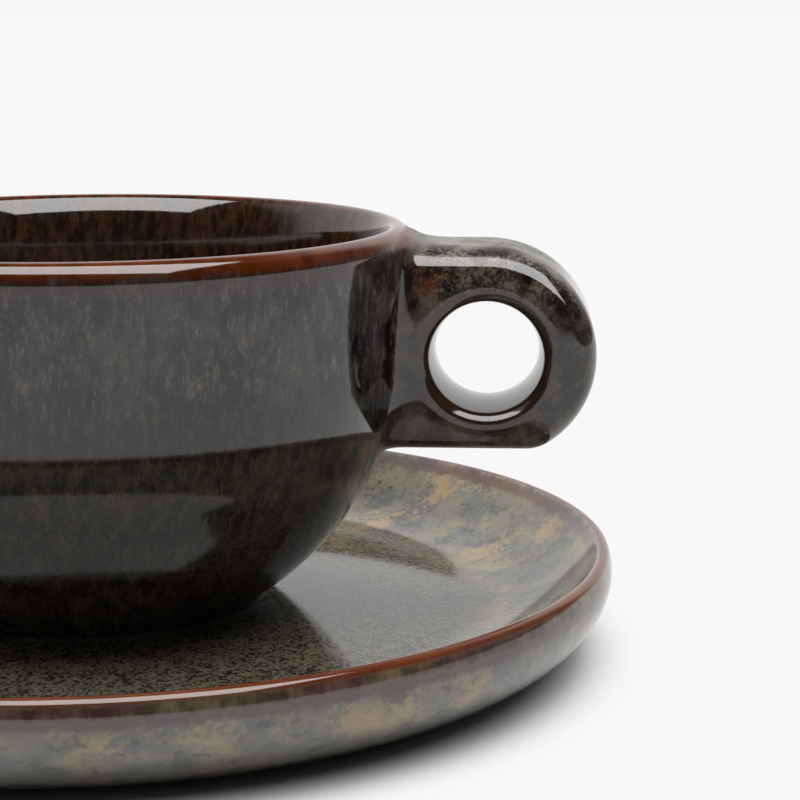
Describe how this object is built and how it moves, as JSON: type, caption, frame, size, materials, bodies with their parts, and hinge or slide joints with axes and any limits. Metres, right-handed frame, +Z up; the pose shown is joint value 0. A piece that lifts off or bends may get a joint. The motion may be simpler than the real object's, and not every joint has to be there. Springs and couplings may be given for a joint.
{
  "type": "cappuccino cup with saucer",
  "caption": "Round-bellied cappuccino cup with a thick ring handle, standing loose in a coupe saucer; the cup lifts straight up off the saucer's well.",
  "frame": {"origin": "on the cup's axis, on the surface that the saucer stands on", "axes": "+Z up along the axis of cup and saucer, +X from the axis through the middle of the handle"},
  "size_m": [0.16, 0.16, 0.0646],
  "materials": {
    "saucer_glaze": "glossy speckled sage-grey reactive glaze, rust at the lip",
    "cup_glaze": "glossy dark brown reactive glaze with fine vertical streaks, rust at the lip",
    "handle_glaze": "glossy dark brown reactive glaze with pale mottling"
  },
  "bodies": {
    "saucer": {"saucer": "saucer_glaze"},
    "cup": {"cup_body": "cup_glaze", "handle": "handle_glaze"}
  },
  "joints": [
    {"name": "cup_lift", "type": "slide", "parent": "saucer", "child": "cup", "axis": [0, 0, 1], "range_m": [0, 0.12]}
  ]
}
